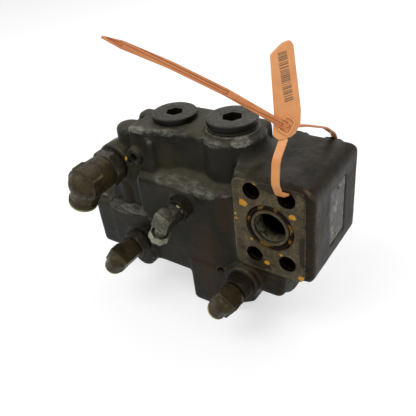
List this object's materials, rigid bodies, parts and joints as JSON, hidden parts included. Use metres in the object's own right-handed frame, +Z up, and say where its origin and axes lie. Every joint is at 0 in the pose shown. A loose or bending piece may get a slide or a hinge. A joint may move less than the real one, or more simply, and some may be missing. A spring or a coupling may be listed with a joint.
{
  "type": "hose rupture valve",
  "caption": "Cast hydraulic safety valve with a bolted flange port, screwed bore plugs, elbow fittings and an orange seal tag.",
  "frame": {"origin": "centre of the front flange port, on its machined face", "axes": "-Y out of the front port, +X to the nameplate side, +Z up to the two bore plugs"},
  "size_m": [0.2149, 0.1494, 0.2547],
  "materials": {
    "cast_body": "worn dark paint over cast iron, bare where machined",
    "plug_steel": "dark oiled steel",
    "fitting_steel": "worn olive plating",
    "pale_fitting_steel": "worn bright plating",
    "nut_steel": "rusty plating",
    "washer_steel": "worn plating",
    "ground_steel": "ground and oiled",
    "spring_steel": "dark oiled wire",
    "seal_rubber": "matt",
    "plate_metal": "worn, bare of marks",
    "tag_plastic": "moulded orange plastic"
  },
  "bodies": {
    "root": {"valve_body": "cast_body", "end_cover": "cast_body", "main_plug": "plug_steel", "relief_plug": "plug_steel", "spool_plug": "plug_steel", "blanking_screw": "plug_steel", "cover_screws": "plug_steel", "large_elbow": "fitting_steel", "pilot_elbow": "fitting_steel", "drain_elbow": "fitting_steel", "middle_elbow": "pale_fitting_steel", "large_lock_nut": "nut_steel", "middle_lock_nut": "nut_steel", "pilot_lock_nut": "nut_steel", "drain_lock_nut": "nut_steel", "large_washer": "washer_steel", "middle_washer": "washer_steel", "pilot_washer": "washer_steel", "drain_washer": "washer_steel", "main_seat": "ground_steel", "relief_seat": "ground_steel", "relief_shim": "ground_steel", "main_spring": "spring_steel", "relief_spring": "spring_steel", "pilot_spring": "spring_steel", "check_spring": "spring_steel", "flange_seal": "seal_rubber", "main_plug_seal": "seal_rubber", "relief_plug_seal": "seal_rubber", "spool_plug_seal": "seal_rubber", "large_port_seal": "seal_rubber", "middle_port_seal": "seal_rubber", "pilot_port_seal": "seal_rubber", "drain_port_seal": "seal_rubber", "cover_gasket": "seal_rubber", "nameplate": "plate_metal", "nameplate_rivets": "plate_metal", "tag_flag": "tag_plastic", "tag_strap": "tag_plastic"},
    "main_poppet_body": {"main_poppet": "ground_steel"},
    "relief_poppet_body": {"relief_poppet": "ground_steel"},
    "pilot_piston_body": {"pilot_piston": "ground_steel"},
    "pilot_spool_body": {"pilot_spool": "ground_steel", "spring_cup": "ground_steel"},
    "check_ball_body": {"check_ball": "ground_steel"}
  },
  "joints": [
    {"name": "main_poppet_lift", "type": "slide", "parent": "root", "child": "main_poppet_body", "axis": [0, 0, 1], "range_m": [0, 0.008], "stiffness_N_per_m": 3100, "springref_m": -0.006, "deforming": ["main_spring"]},
    {"name": "relief_poppet_lift", "type": "slide", "parent": "root", "child": "relief_poppet_body", "axis": [0, 0, 1], "range_m": [0, 0.004], "stiffness_N_per_m": 29700, "springref_m": -0.003, "deforming": ["relief_spring"]},
    {"name": "pilot_spool_slide", "type": "slide", "parent": "root", "child": "pilot_spool_body", "axis": [1, 0, 0], "range_m": [0, 0.006], "stiffness_N_per_m": 5800, "springref_m": -0.004, "deforming": ["pilot_spring"]},
    {"name": "pilot_piston_slide", "type": "slide", "parent": "root", "child": "pilot_piston_body", "axis": [1, 0, 0], "range_m": [0, 0.006]},
    {"name": "check_ball_lift", "type": "slide", "parent": "root", "child": "check_ball_body", "axis": [0, -1, 0], "range_m": [0, 0.002], "stiffness_N_per_m": 1500, "springref_m": -0.002, "deforming": ["check_spring"]}
  ],
  "couplings": [
    {"joint": "pilot_piston_slide", "follows": "pilot_spool_slide", "ratio": 1}
  ]
}
